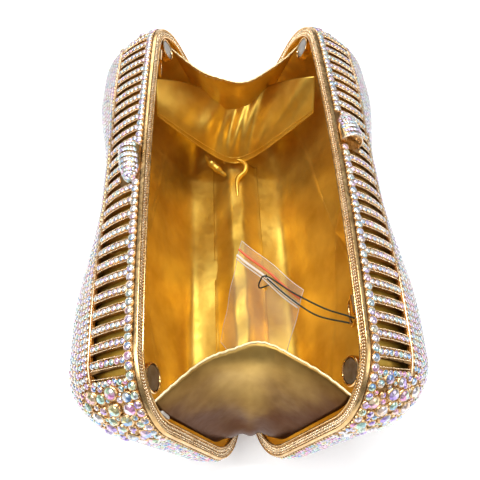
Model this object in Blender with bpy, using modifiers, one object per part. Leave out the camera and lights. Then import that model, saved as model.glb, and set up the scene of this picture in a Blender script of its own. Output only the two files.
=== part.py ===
"""Crystal minaudiere evening bag, standing open: two hinged metal cases, lining, gussets and hardware.

Metres, +Z up, X along the bag's length.  Each case is drawn in its own frame: x along the length,
a (the frame's Y) outwards from the plane where the two cases meet, h (the frame's Z) up that plane from
the hinge line.  The back case (+Y) and the front case (-Y) lean apart by OPEN_ANGLE each, and they are
the same piece turned half round about Z.
"""

import math

import bmesh
import bpy
from mathutils import Matrix, Vector

# The whole bag
LENGTH = 0.210
RIM_HEIGHT = 0.1014
TOP_ARCH = 0.0053  # extra height of the rim at mid-length
TOP_CORNER = 0.0254
BOTTOM_CORNER = 0.0328
RIM_ABOVE_HINGE = 0.005
OPEN_ANGLE = math.radians(21)
HINGE_Z = 0.0027
GAP = 0.0003  # between pieces that are soldered or sewn together

# Case walls.  The shoulder is how far the face lies inside the rim, and the power how square it turns.
# The face swells out towards both ends, high up, so the bag has a waist.
CASE_DEPTH = 0.030
SWELL = 0.0085
SWELL_X = (0.008, 0.064)
SWELL_Z = (0.020, 0.080)
CROWN = 0.002
WALL = 0.0012
SHOULDER = {"top": 0.020, "end": 0.022, "bottom": 0.0058}
SQUARENESS = {"top": 1.9, "end": 2.0, "bottom": 3.0}

# Slotted roof
SLOT_PITCH = 0.0065
SLOT_WIDTH = 0.0027
SLOT_COUNT = 28
SLOT_FROM, SLOT_TO = 0.0056, 0.0208
SLOT_FROM_BY_KNOB = 0.0121
SLOT_BELOW_TOP, SLOT_ABOVE_TOP = 0.012, 0.008

# Rim
RIM_WIDTH = 0.005
RIM_THICK = 0.0016
RIM_A = 0.0010  # middle of its thickness, so 0.2 mm short of the meeting plane
RIM_EDGE = 0.0003
CASE_START = RIM_A + RIM_THICK / 2 + GAP

# Fabric
FABRIC = 0.0008
LINER_SKIN = WALL + 0.0005
GUSSET_INSET = 0.0074
SEAM_A = 0.0028
GUSSET_FOLD = 0.023
GUSSET_SAG = 0.005
GUSSET_TOP_ANGLE = math.radians(30)
GUSSET_END_ANGLE = math.radians(-84)
STRIP_INSET = 0.0067
STRIP_HUMP = 0.0009

# Hinges
BARREL_R = 0.0020
PIN_R = 0.0009
PIN_PLAY = 0.00005
HINGE_X = 0.052
KNUCKLE = 0.009
LEAF_THICK = 0.0010
LEAF_WIDTH = 0.0087
NECK_THICK = 0.0014
NECK_FOOT = 0.0012

# Magnets
MAGNET_R, CUP_R, CUP_WALL = 0.0045, 0.0056, 0.0008
CUP_FRONT, CUP_FLOOR, CUP_BACK = 0.0009, 0.0033, 0.0040
MAGNET_ANGLE = math.radians(57)

# Knobs
KNOB_LENGTH, KNOB_HALF_WIDTH, KNOB_HEIGHT = 0.017, 0.0052, 0.0062
KNOB_A = 0.0066
KNOB_MEETING = 0.007  # where along the bag the two flat ends meet
KNOB_SINK = 0.0006
KNOB_TILT = -0.2
KNOB_END_GAP = 0.0004

# Strap rings, by their place along the bag
RING_X = {"front": -0.065, "back": 0.075}
WIRE_R = 0.0006
RING_BARREL_R = 0.0016
RING_BARREL_LENGTH = 0.007
RING_A = 0.0022
RING_WIDTH, RING_DROP = 0.010, 0.0105
RING_TOP_BEND, RING_LOW_BEND = 0.0016, 0.0032

# Spare-stone pouch, hung on a thread from the front strap ring
POUCH_CORNER = Vector((-0.015, 0.0003, 0.0647))
POUCH_ACROSS = Vector((-0.0315, -0.0247, 0.0100))
POUCH_DOWN = Vector((-0.0300, 0.0118, -0.0490))
POUCH_THICK = 0.0006
POUCH_HOLE_R = 0.0022
POUCH_HOLE_DOWN = 0.2
ZIP_DOWN = 0.13
ZIP_OUT = 0.0012
ZIP_R = 0.00055
THREAD_R = 0.00035
THREAD_STEP = 0.0018
THREAD = [
    (-0.0349, -0.0119, 0.0583),
    (-0.0368, -0.0092, 0.0599),
    (-0.0380, -0.0066, 0.0614),
    (-0.0370, -0.0068, 0.0656),
    (-0.0370, -0.0096, 0.0700),
    (-0.0460, -0.0200, 0.0715),
    (-0.0570, -0.0310, 0.0785),
    (-0.0645, -0.0370, 0.0878),
    (-0.0660, -0.0389, 0.0890),
    (-0.0663, -0.0405, 0.0882),
    (-0.0666, -0.0407, 0.0865),
    (-0.0668, -0.0393, 0.0855),
    (-0.0664, -0.0370, 0.0855),
    (-0.0580, -0.0280, 0.0745),
    (-0.0480, -0.0180, 0.0715),
    (-0.0384, -0.0096, 0.0705),
]

# Clear pad inside the back rim
PAD_ANGLE = math.radians(8)
PAD_SIZE = (0.0012, 0.0017, 0.0060)
PAD_FROM_RIM = 0.00075

ROUND_SIDES = 20
PIN_SIDES = 28

GOLD = (0.80, 0.56, 0.24, 1.0)
GOLD_FABRIC = (0.72, 0.47, 0.08, 1.0)
STEEL = (0.60, 0.60, 0.62, 1.0)
CRYSTAL = (0.90, 0.88, 0.95, 1.0)
CLEAR = (0.90, 0.90, 0.90, 1.0)
DARK_THREAD = (0.03, 0.05, 0.03, 1.0)
# colour, metallic, roughness, transmission
KINDS = {
    "case": (GOLD, 1.0, 0.25, 0.0),
    "rim": (GOLD, 1.0, 0.30, 0.0),
    "hardware": (GOLD, 1.0, 0.15, 0.0),
    "lining": (GOLD_FABRIC, 0.6, 0.35, 0.0),
    "magnet": (STEEL, 1.0, 0.30, 0.0),
    "crystal": (CRYSTAL, 0.0, 0.05, 0.5),
    "film": (CLEAR, 0.0, 0.10, 0.8),
    "thread": (DARK_THREAD, 0.0, 0.80, 0.0),
}


# ---------------------------------------------------------------- scene

def clear_scene():
    for obj in list(bpy.data.objects):
        bpy.data.objects.remove(obj, do_unlink=True)


def new_collection(name, hidden=False):
    made = bpy.data.collections.new(name)
    bpy.context.scene.collection.children.link(made)
    made.hide_render = hidden
    return made


clear_scene()
BAG = new_collection("evening_bag")
CUTTERS = new_collection("cutters", hidden=True)


def new_frame(name, matrix):
    """An empty that pieces are drawn in."""
    frame = bpy.data.objects.new(name, None)
    frame.matrix_world = matrix
    BAG.objects.link(frame)
    return frame


def case_frame(side):
    """The frame of a case, with its origin on the hinge line."""
    turn = Matrix.Rotation(0 if side == "back" else math.pi, 4, "Z")
    lean = Matrix.Rotation(-OPEN_ANGLE, 4, "X")
    return new_frame(f"{side}_frame", Matrix.Translation((0, 0, HINGE_Z)) @ turn @ lean)


FRAMES = {side: case_frame(side) for side in ("back", "front")}


def own_x(side, x):
    """World x in the case's own frame."""
    return x if side == "back" else -x


def new_material(name, kind):
    color, metallic, roughness, transmission = KINDS[kind]
    made = bpy.data.materials.new(name)
    made.use_nodes = True
    shader = made.node_tree.nodes["Principled BSDF"]
    shader.inputs["Base Color"].default_value = color
    shader.inputs["Metallic"].default_value = metallic
    shader.inputs["Roughness"].default_value = roughness
    shader.inputs["Transmission Weight"].default_value = transmission
    return made


def add_object(name, data, kind, frame=None, place=None, home=BAG):
    """An object in a frame, with a material of its own."""
    obj = bpy.data.objects.new(name, data)
    obj.parent = frame
    obj.matrix_local = place or Matrix.Identity(4)
    data.materials.clear()
    data.materials.append(new_material(name, kind))
    home.objects.link(obj)
    return obj


def carry(obj, frame):
    """Parents a piece drawn in the world to a frame, and leaves it where it is."""
    bpy.context.view_layer.update()
    obj.parent = frame
    obj.matrix_parent_inverse = frame.matrix_world.inverted()


def mesh_object(name, shape, kind, frame=None, place=None, home=BAG, smooth=True):
    """Ends a bmesh and makes an object of it."""
    bmesh.ops.recalc_face_normals(shape, faces=shape.faces)
    mesh = bpy.data.meshes.new(name)
    shape.to_mesh(mesh)
    shape.free()
    if smooth:
        mesh.shade_smooth()
        mesh.set_sharp_from_angle(angle=math.radians(40))
    return add_object(name, mesh, kind, frame, place, home)


# ---------------------------------------------------------------- shapes

def box(name, low, high, kind, frame=None, home=BAG):
    """A cube primitive stretched between two corners."""
    low, high = Vector(low), Vector(high)
    shape = bmesh.new()
    bmesh.ops.create_cube(shape, size=1.0)
    shape.transform(Matrix.Translation((low + high) / 2) @ Matrix.Diagonal((*(high - low), 1)))
    return mesh_object(name, shape, kind, frame, None, home, smooth=False)


def cylinder(name, radius, length, kind, frame, place, sides=ROUND_SIDES, home=BAG):
    """A capped cylinder along the place's Z, centred on it."""
    shape = bmesh.new()
    bmesh.ops.create_cone(shape, cap_ends=True, segments=sides, radius1=radius, radius2=radius, depth=length)
    return mesh_object(name, shape, kind, frame, place, home)


def turned(name, profile, kind, frame, place, sides=ROUND_SIDES, home=BAG):
    """A closed profile of (radius, height), down its outer side first, turned about the place's Z."""
    shape = bmesh.new()
    corners = [shape.verts.new((radius, 0, height)) for radius, height in profile]
    for here, after in zip(corners, corners[1:] + corners[:1]):
        shape.edges.new((here, after))
    obj = mesh_object(name, shape, kind, frame, place, home, smooth=False)
    screw = obj.modifiers.new("turn", "SCREW")
    screw.steps = sides
    screw.render_steps = sides
    screw.use_merge_vertices = True
    screw.merge_threshold = 1e-6
    return obj


def tube_profile(radius, bore, length):
    """The profile of a tube for turned()."""
    half = length / 2
    return [(radius, half), (radius, -half), (bore, -half), (bore, half)]


def surface(name, rows, kind, frame=None, closed=False, tip=None, home=BAG):
    """An open surface through rows of points.  A closed row is a ring, and a tip ends the last one."""
    shape = bmesh.new()
    grid = [[shape.verts.new(p) for p in row] for row in rows]
    for low, high in zip(grid, grid[1:]):
        count = len(low)
        for i in range(count if closed else count - 1):
            j = (i + 1) % count
            shape.faces.new((low[i], low[j], high[j], high[i]))
    if tip is not None:
        end = shape.verts.new(tip)
        last = grid[-1]
        for here, after in zip(last, last[1:] + last[:1]):
            shape.faces.new((here, after, end))
    return mesh_object(name, shape, kind, frame, None, home)


def thicken(obj, thickness, offset):
    """Solidify: offset 0 grows both ways, -1 against the normals and 1 along them."""
    solidify = obj.modifiers.new("thickness", "SOLIDIFY")
    solidify.thickness = thickness
    solidify.offset = offset
    return obj


def boolean(obj, other, operation="DIFFERENCE"):
    """An exact Boolean with another object, which is kept as a hidden helper."""
    other.display_type = "WIRE"
    other.hide_render = True
    modifier = obj.modifiers.new(other.name, "BOOLEAN")
    modifier.solver = "EXACT"
    modifier.operation = operation
    modifier.object = other


def wire(name, points, radius, kind, frame=None, place=None, cyclic=False):
    """A round wire along a polyline."""
    curve = bpy.data.curves.new(name, "CURVE")
    curve.dimensions = "3D"
    curve.bevel_depth = radius
    curve.bevel_resolution = 2
    curve.use_fill_caps = True
    spline = curve.splines.new("POLY")
    spline.points.add(len(points) - 1)
    for target, point in zip(spline.points, points):
        target.co = (*point, 1)
    spline.use_cyclic_u = cyclic
    return add_object(name, curve, kind, frame, place)


def smooth_route(points, step):
    """Points about a step apart on a Catmull-Rom curve through the given ones."""
    points = [Vector(p) for p in points]
    padded = [2 * points[0] - points[1], *points, 2 * points[-1] - points[-2]]
    route = []
    for p0, p1, p2, p3 in zip(padded, padded[1:], padded[2:], padded[3:]):
        count = max(1, round((p2 - p1).length / step))
        for i in range(count):
            t = i / count
            square = (2 * p0 - 5 * p1 + 4 * p2 - p3) * t**2
            cube = (3 * p1 - p0 - 3 * p2 + p3) * t**3
            route.append((2 * p1 + (p2 - p0) * t + square + cube) / 2)
    return [*route, points[-1]]


# ---------------------------------------------------------------- the outline of a case

def outline():
    """Points of the rim's outer edge with their inward normals, as (x, z, nx, nz)."""
    half = LENGTH / 2
    points = []

    def arc(cx, cz, radius, quarter):
        steps = 7
        for step in range(steps + 1):
            angle = math.pi / 2 * (quarter + step / steps)
            nx, nz = math.cos(angle), math.sin(angle)
            points.append((cx + radius * nx, cz + radius * nz, -nx, -nz))

    def straight(x0, z0, x1, z1, nx, nz, steps):
        for step in range(1, steps):
            share = step / steps
            points.append((x0 + (x1 - x0) * share, z0 + (z1 - z0) * share, nx, nz))

    top, low = TOP_CORNER, BOTTOM_CORNER
    arc(half - top, RIM_HEIGHT - top, top, 0)
    straight(half - top, RIM_HEIGHT, top - half, RIM_HEIGHT, 0, -1, 12)
    arc(top - half, RIM_HEIGHT - top, top, 1)
    straight(-half, RIM_HEIGHT - top, -half, low, 1, 0, 3)
    arc(low - half, low, low, 2)
    straight(low - half, 0, half - low, 0, 0, 1, 8)
    arc(half - low, low, low, 3)
    straight(half, low, half, RIM_HEIGHT - top, -1, 0, 3)
    return points


OUTLINE = outline()


def lifted(x, z):
    """Height over the hinge line: the top's arch and the rim's height above the hinge added."""
    return z + TOP_ARCH * (1 - (2 * x / LENGTH) ** 2) * z / RIM_HEIGHT + RIM_ABOVE_HINGE


def top_at(x):
    """Height of the rim's top edge over the hinge line."""
    beyond = max(0.0, abs(x) - (LENGTH / 2 - TOP_CORNER))
    return lifted(x, RIM_HEIGHT - TOP_CORNER + math.sqrt(TOP_CORNER**2 - beyond**2))


def by_side(nz, values):
    """A value that changes smoothly between the top of the bag, its ends and its bottom."""
    other = values["top"] if nz < 0 else values["bottom"]
    return values["end"] + (other - values["end"]) * nz * nz


def eased(value, low, high):
    """0 below low, 1 above high, and smooth between."""
    share = min(1.0, max(0.0, (value - low) / (high - low)))
    return share * share * (3 - 2 * share)


def depth_at(x, z):
    """How far the face stands from the meeting plane beside one point of the outline."""
    return CASE_DEPTH + SWELL * eased(abs(x), *SWELL_X) * eased(z, *SWELL_Z)


def inset_ring(inset, a):
    """The outline moved inwards by one distance, at one depth."""
    return [(x + nx * inset, a, lifted(x + nx * inset, z + nz * inset)) for x, z, nx, nz in OUTLINE]


def case_rings(skin, steps):
    """Rings of the surface that lies skin inside the case's outer one, and its middle point."""
    rings = []
    for step in range(steps + 1):
        angle = math.pi / 2 * step / steps
        ring = []
        for x, z, nx, nz in OUTLINE:
            power = 2 / by_side(nz, SQUARENESS)
            rise = 1 - abs(math.cos(angle)) ** power
            inset = skin + (by_side(nz, SHOULDER) - skin) * rise
            depth = depth_at(x, z) - skin - CASE_START
            a = CASE_START + depth * math.sin(angle) ** power
            ring.append((x + nx * inset, a, lifted(x + nx * inset, z + nz * inset)))
        rings.append(ring)
    face = CASE_DEPTH - skin
    middle = lifted(0, RIM_HEIGHT / 2)
    share = 0.5
    crown = CROWN * (1 - share * share)
    rings.append([(x * share, face + (a - face) * share + crown, middle + (h - middle) * share)
                  for x, a, h in rings[-1]])
    return rings, (0, face + CROWN, middle)


# ---------------------------------------------------------------- metal parts of a case

def make_case(side):
    """The pierced bowl, with its two lowest edges flat at the ground."""
    frame = FRAMES[side]
    rings, tip = case_rings(0.0, 7)
    case = surface(f"{side}_case", rings, "case", frame, closed=True, tip=tip)
    thicken(case, WALL, -1)
    slots = bmesh.new()
    for number in range(SLOT_COUNT):
        x = (number - (SLOT_COUNT - 1) / 2) * SLOT_PITCH
        behind_end = knob_end(side) - x
        beside_knob = -SLOT_PITCH / 6 < behind_end < KNOB_LENGTH + SLOT_PITCH / 6
        low = SLOT_FROM_BY_KNOB if beside_knob else SLOT_FROM
        height = SLOT_BELOW_TOP + SLOT_ABOVE_TOP
        centre = (x, (low + SLOT_TO) / 2, top_at(x) + (SLOT_ABOVE_TOP - SLOT_BELOW_TOP) / 2)
        size = Matrix.Diagonal((SLOT_WIDTH, SLOT_TO - low, height, 1))
        bmesh.ops.create_cube(slots, size=1.0, matrix=Matrix.Translation(centre) @ size)
    boolean(case, mesh_object(f"{side}_slots", slots, "case", frame, None, CUTTERS, smooth=False))
    ground = box(f"{side}_ground", (-LENGTH, -LENGTH, -LENGTH), (LENGTH, LENGTH, 0), "case", None, CUTTERS)
    boolean(case, ground)


def make_rim(side):
    """A flat ring just behind the meeting plane, with eased edges."""
    curve = bpy.data.curves.new(f"{side}_rim", "CURVE")
    curve.dimensions = "2D"
    curve.fill_mode = "BOTH"
    curve.extrude = RIM_THICK / 2
    for inset in (0.0, RIM_WIDTH):
        spline = curve.splines.new("POLY")
        ring = inset_ring(inset, 0)
        spline.points.add(len(ring) - 1)
        for target, (x, _, h) in zip(spline.points, ring):
            target.co = (x, h, 0, 1)
        spline.use_cyclic_u = True
    upright = Matrix.Translation((0, RIM_A, 0)) @ Matrix.Rotation(math.pi / 2, 4, "X")
    rim = add_object(f"{side}_rim", curve, "rim", FRAMES[side], upright)
    weld = rim.modifiers.new("weld", "WELD")
    weld.merge_threshold = 1e-6


def make_lining(side):
    rings, tip = case_rings(LINER_SKIN, 5)
    lining = surface(f"{side}_lining", rings, "lining", FRAMES[side], closed=True, tip=tip)
    thicken(lining, FABRIC, -1)


def knob_end(side):
    """Where the flat end of a knob is, in the frame of its own case."""
    return own_x(side, KNOB_MEETING) - KNOB_END_GAP


def make_knob(side):
    """A half dome on the roof next to the rim, with a flat end near mid-length."""
    frame = FRAMES[side]
    end_x = knob_end(side)
    shape = bmesh.new()
    size = Matrix.Diagonal((KNOB_LENGTH, KNOB_HALF_WIDTH, KNOB_HEIGHT, 1))
    middle = Matrix.Translation((end_x, KNOB_A, top_at(0) - KNOB_SINK))
    place = middle @ Matrix.Rotation(KNOB_TILT, 4, "X")
    bmesh.ops.create_uvsphere(shape, u_segments=20, v_segments=12, radius=1.0, matrix=place @ size)
    knob = mesh_object(f"{side}_knob", shape, "crystal", frame)
    rings, tip = case_rings(-GAP, 7)
    rings.insert(0, inset_ring(-GAP, -CASE_DEPTH))
    below = surface(f"{side}_knob_seat", rings, "case", frame, closed=True, tip=tip, home=CUTTERS)
    thicken(below, CASE_DEPTH / 2, -1)
    boolean(knob, below)
    reach = 0.05
    top = top_at(0)
    low, high = (-reach, -reach, top - reach), (reach, reach, top + reach)
    end = box(f"{side}_knob_end", (end_x, *low[1:]), high, "case", frame, CUTTERS)
    boolean(knob, end)
    boolean(knob, box(f"{side}_knob_rim", low, (reach, CASE_START, high[2]), "case", frame, CUTTERS))


# ---------------------------------------------------------------- fabric between the cases

def end_seam():
    """Where a gusset is sewn to one case, as (x, h) from the top corner down to the bottom."""
    half = LENGTH / 2
    points = []
    radius = TOP_CORNER - GUSSET_INSET
    for step in range(3):
        angle = GUSSET_TOP_ANGLE * (1 - step / 3)
        points.append((half - TOP_CORNER + radius * math.cos(angle),
                       RIM_HEIGHT - TOP_CORNER + radius * math.sin(angle)))
    for step in range(4):
        share = step / 4
        points.append((half - GUSSET_INSET,
                       (RIM_HEIGHT - TOP_CORNER) * (1 - share) + BOTTOM_CORNER * share))
    radius = BOTTOM_CORNER - GUSSET_INSET
    for step in range(5):
        angle = GUSSET_END_ANGLE * step / 4
        points.append((half - BOTTOM_CORNER + radius * math.cos(angle), BOTTOM_CORNER + radius * math.sin(angle)))
    return [(x, lifted(x, z)) for x, z in points]


def seam_place(h):
    """Half the distance between the two seams at one height up the cases, and that height in the world."""
    half = h * math.sin(OPEN_ANGLE) + SEAM_A * math.cos(OPEN_ANGLE)
    return half, h * math.cos(OPEN_ANGLE) - SEAM_A * math.sin(OPEN_ANGLE) + HINGE_Z


def make_gusset(name, sign):
    """One end gusset, folded inwards between the cases."""
    seam = end_seam()
    top, low = seam[0][1], seam[-1][1]
    rows = []
    for x, h in seam:
        share = (h - low) / (top - low)
        half, z = seam_place(h)
        fold = GUSSET_FOLD * share**1.3
        row = []
        for step in range(11):
            across = -1 + step / 5
            middle = 1 - abs(across) ** 1.7
            row.append((sign * (x - fold * middle), half * across, z - GUSSET_SAG * middle * share))
        rows.append(row)
    thicken(surface(name, rows, "lining"), FABRIC, 0)


def make_bottom_lining():
    """The strip of lining that runs over the hinges."""
    end = LENGTH / 2 - BOTTOM_CORNER - 0.0015
    rows = []
    for step in range(9):
        x = -end + 2 * end * step / 8
        half, z = seam_place(lifted(x, STRIP_INSET))
        rows.append([(x, half * across, z + STRIP_HUMP * (1 - across * across))
                     for across in (-1, -0.6, -0.2, 0.2, 0.6, 1)])
    thicken(surface("bottom_lining", rows, "lining"), FABRIC, 0)


# ---------------------------------------------------------------- hinges

ALONG_X = Matrix.Rotation(math.pi / 2, 4, "Y")


def make_hinge(end, sign):
    """One butt hinge under the cases: a front leaf with two knuckles, a back leaf with one, and a pin."""
    middle = HINGE_X * sign
    knuckles = {"back": [middle], "front": [middle - KNUCKLE, middle + KNUCKLE]}
    length = KNUCKLE - GAP
    leaf_top = RIM_ABOVE_HINGE - GAP - 0.0001
    profile = tube_profile(BARREL_R, PIN_R + PIN_PLAY, length)
    inside, neck_a = length / 2 - 0.0004, GAP + 0.00005
    for side, centres in knuckles.items():
        frame = FRAMES[side]
        centres = [own_x(side, x) for x in centres]
        low, high = min(centres) - length / 2, max(centres) + length / 2
        corners = (low, GAP, leaf_top - LEAF_THICK), (high, GAP + LEAF_WIDTH, leaf_top)
        leaf = box(f"{side}_hinge_leaf_{end}", *corners, "hardware", frame)
        for number, x in enumerate(centres):
            which = f"{end}_{number}"
            low_corner = (x - inside, neck_a, NECK_FOOT)
            high_corner = (x + inside, neck_a + NECK_THICK, leaf_top - LEAF_THICK / 2)
            neck = box(f"{side}_neck_{which}", low_corner, high_corner, "hardware", frame, CUTTERS)
            boolean(leaf, neck, "UNION")
            place = Matrix.Translation((x, 0, 0)) @ ALONG_X
            barrel = turned(f"{side}_knuckle_{which}", profile, "hardware", frame, place, PIN_SIDES, CUTTERS)
            boolean(leaf, barrel, "UNION")
    cylinder(f"hinge_pin_{end}", PIN_R, 3 * KNUCKLE + 0.0008, "hardware", None,
             Matrix.Translation((middle, 0, HINGE_Z)) @ ALONG_X, PIN_SIDES)


# ---------------------------------------------------------------- magnets and rings

def make_magnet(side, end, sign):
    """A magnet in its cup, in an upper corner of a case and facing the other case."""
    reach = TOP_CORNER - RIM_WIDTH - GAP - CUP_R
    x = LENGTH / 2 - TOP_CORNER + reach * math.cos(MAGNET_ANGLE)
    z = RIM_HEIGHT - TOP_CORNER + reach * math.sin(MAGNET_ANGLE)
    outwards = Matrix.Translation((sign * x, 0, lifted(x, z))) @ Matrix.Rotation(-math.pi / 2, 4, "X")
    inner, core = CUP_R - CUP_WALL, 0.0006
    profile = [(CUP_R, CUP_BACK), (CUP_R, CUP_FRONT), (inner, CUP_FRONT), (inner, CUP_FLOOR), (core, CUP_FLOOR),
               (core, CUP_BACK)]
    turned(f"{side}_magnet_cup_{end}", profile, "hardware", FRAMES[side], outwards)
    front, back = CUP_FRONT + GAP, CUP_FLOOR - GAP
    cylinder(f"{side}_magnet_{end}", MAGNET_R, back - front, "magnet", FRAMES[side],
             outwards @ Matrix.Translation((0, 0, (front + back) / 2)))


def ring_loop():
    """The strap ring's wire: a rounded loop that hangs from the origin down -Z."""
    wide, low = RING_WIDTH / 2, RING_LOW_BEND
    high = RING_TOP_BEND
    bends = [(wide - high, -high, high, 90), (wide - low, low - RING_DROP, low, 0),
             (low - wide, low - RING_DROP, low, -90), (high - wide, -high, high, -180)]
    points = []
    for x, z, radius, start in bends:
        for step in range(5):
            angle = math.radians(start - 90 * step / 4)
            points.append((x + radius * math.cos(angle), 0, z + radius * math.sin(angle)))
    return points


def make_ring(side):
    """A barrel inside the rim, and the strap ring that hangs straight down from it."""
    x = own_x(side, RING_X[side])
    axis = Vector((x, RING_A, top_at(x) - RIM_WIDTH - 0.0004 - RING_BARREL_R))
    profile = tube_profile(RING_BARREL_R, WIRE_R + 0.0002, RING_BARREL_LENGTH)
    turned(f"{side}_ring_barrel", profile, "hardware", FRAMES[side], Matrix.Translation(axis) @ ALONG_X)
    bpy.context.view_layer.update()
    hanging = new_frame(f"{side}_ring_frame", Matrix.Translation(FRAMES[side].matrix_world @ axis))
    wire(f"{side}_strap_ring", ring_loop(), WIRE_R, "hardware", hanging, cyclic=True)


# ---------------------------------------------------------------- small things

def make_pad():
    """A small clear pad inside the back rim, at the left end just below the gusset's top."""
    reach = TOP_CORNER - RIM_WIDTH - PAD_FROM_RIM - PAD_SIZE[0] / 2
    corner = LENGTH / 2 - TOP_CORNER
    shape = bmesh.new()
    bmesh.ops.create_cube(shape, size=1.0, matrix=Matrix.Diagonal((*PAD_SIZE, 1)))
    place = (Matrix.Translation((-corner, GAP + PAD_SIZE[1] / 2, lifted(corner, RIM_HEIGHT - TOP_CORNER)))
             @ Matrix.Rotation(PAD_ANGLE, 4, "Y") @ Matrix.Translation((-reach, 0, 0)))
    pad = mesh_object("back_bumper", shape, "film", FRAMES["back"], place, smooth=False)
    bevel = pad.modifiers.new("round", "BEVEL")
    bevel.width = 0.0004
    bevel.segments = 2


def pouch_point(across, down, out=0.0):
    """A point of the pouch's plane from shares of its two sides, lifted towards the mouth of the bag."""
    normal = POUCH_DOWN.cross(POUCH_ACROSS).normalized()
    return POUCH_CORNER + POUCH_ACROSS * across + POUCH_DOWN * down + normal * out


def make_pouch():
    """A flat zip pouch with a punched hole, its zip ridge, and the thread it hangs on."""
    rows = [[pouch_point(column / 4, row / 6) for column in range(5)] for row in range(7)]
    pouch = surface("spares_pouch", rows, "film")
    thicken(pouch, POUCH_THICK, 0)
    normal = pouch_point(0, 0, 1) - pouch_point(0, 0)
    facing = normal.to_track_quat("Z", "Y").to_matrix().to_4x4()
    hole = Matrix.Translation(pouch_point(0.5, POUCH_HOLE_DOWN)) @ facing
    boolean(pouch, cylinder("pouch_hole", POUCH_HOLE_R, 0.006, "film", None, hole, 16, CUTTERS))
    across = [pouch_point(share, ZIP_DOWN, ZIP_OUT) for share in (0.01, 0.5, 0.99)]
    ridge = wire("pouch_zip", across, ZIP_R, "film")
    thread = wire("pouch_thread", smooth_route(THREAD, THREAD_STEP), THREAD_R, "thread")
    for obj in (pouch, ridge, thread):
        carry(obj, FRAMES["front"])


# ---------------------------------------------------------------- the bag

for side in FRAMES:
    make_case(side)
    make_rim(side)
    make_lining(side)
    make_knob(side)
    make_ring(side)
    for end, sign in (("a", -1), ("b", 1)):
        make_magnet(side, end, sign)

for end, sign in (("left", -1), ("right", 1)):
    make_gusset(f"{end}_gusset", sign)
    make_hinge(end, sign)

make_bottom_lining()
make_pad()
make_pouch()
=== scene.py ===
"""Looks of the crystal evening bag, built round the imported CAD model.

Metres, +Z up, X along the bag.  Each case is drawn in its own frame: x along the length, a (the frame's
Y) outwards from the plane where the cases meet, h (the frame's Z) up from the hinge line.  The two cases
are the same piece turned half round about Z.  A place on a case is given by s, the distance along the
rim's outer edge from mid-top, and t, which runs from 0 at the rim to 1 where the wall meets the face.
"""

import math

import bmesh
import bpy
import numpy as np
from mathutils import Matrix, Vector


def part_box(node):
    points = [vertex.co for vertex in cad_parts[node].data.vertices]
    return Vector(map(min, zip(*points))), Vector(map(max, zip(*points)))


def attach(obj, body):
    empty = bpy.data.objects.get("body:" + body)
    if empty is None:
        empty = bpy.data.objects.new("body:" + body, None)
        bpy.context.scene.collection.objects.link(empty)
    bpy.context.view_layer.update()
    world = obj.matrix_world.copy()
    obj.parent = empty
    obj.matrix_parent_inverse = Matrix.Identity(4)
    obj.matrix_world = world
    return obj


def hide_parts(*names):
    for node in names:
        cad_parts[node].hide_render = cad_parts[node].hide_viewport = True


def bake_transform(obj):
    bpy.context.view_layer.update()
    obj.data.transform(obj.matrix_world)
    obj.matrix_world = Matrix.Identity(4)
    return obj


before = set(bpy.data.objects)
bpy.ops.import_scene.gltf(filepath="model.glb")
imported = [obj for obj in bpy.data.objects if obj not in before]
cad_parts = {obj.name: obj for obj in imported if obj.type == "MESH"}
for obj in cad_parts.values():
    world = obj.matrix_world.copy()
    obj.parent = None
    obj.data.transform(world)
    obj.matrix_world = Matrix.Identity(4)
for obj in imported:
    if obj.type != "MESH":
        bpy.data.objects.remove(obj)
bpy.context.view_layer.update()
rng = np.random.default_rng(7)

# ---------------------------------------------------------------- sizes

# The bag, as in the CAD model
LENGTH = 0.210
RIM_HEIGHT = 0.1014
TOP_ARCH = 0.0053
TOP_CORNER = 0.0254
BOTTOM_CORNER = 0.0328
RIM_ABOVE_HINGE = 0.005
OPEN_ANGLE = math.radians(21)
HINGE_Z = 0.0027
CASE_DEPTH = 0.030
CASE_START = 0.0021
SWELL = 0.0085  # extra depth high up towards both ends
SWELL_X, SWELL_Z = (0.008, 0.064), (0.020, 0.080)
CROWN = 0.002
WALL = 0.0012
SHOULDER = {"top": 0.020, "end": 0.022, "bottom": 0.0058}
SQUARENESS = {"top": 1.9, "end": 2.0, "bottom": 3.0}
SLOT_PITCH, SLOT_WIDTH, SLOT_COUNT = 0.0065, 0.0027, 28
SLOT_FROM, SLOT_TO = 0.0056, 0.0208
SLOT_FROM_BY_KNOB = 0.0121
RIM_WIDTH = 0.005
KNOB_LENGTH, KNOB_HALF_WIDTH, KNOB_HEIGHT = 0.017, 0.0052, 0.0062
KNOB_A, KNOB_SINK, KNOB_TILT = 0.0066, 0.0006, -0.2
KNOB_MEETING, KNOB_END_GAP = 0.007, 0.0004  # where along the bag the two flat ends meet, and their gap
LINER_SKIN = WALL + 0.0005
GUSSET_INSET, SEAM_A = 0.0074, 0.0028
GUSSET_FOLD, GUSSET_SAG = 0.023, 0.005
CLOTH = 0.0006
# The far fold: its x, the height, slope and bend of its lower edge; half width, reach, rise and bulge
FOLD_X, FOLD_LOW, FOLD_RISE, FOLD_BEND = 0.070, 0.0195, 1.27, 0.012
FOLD_HALF, FOLD_REACH, FOLD_HEIGHT, FOLD_BULGE = 0.043, 0.025, 0.030, 0.0035
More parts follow.
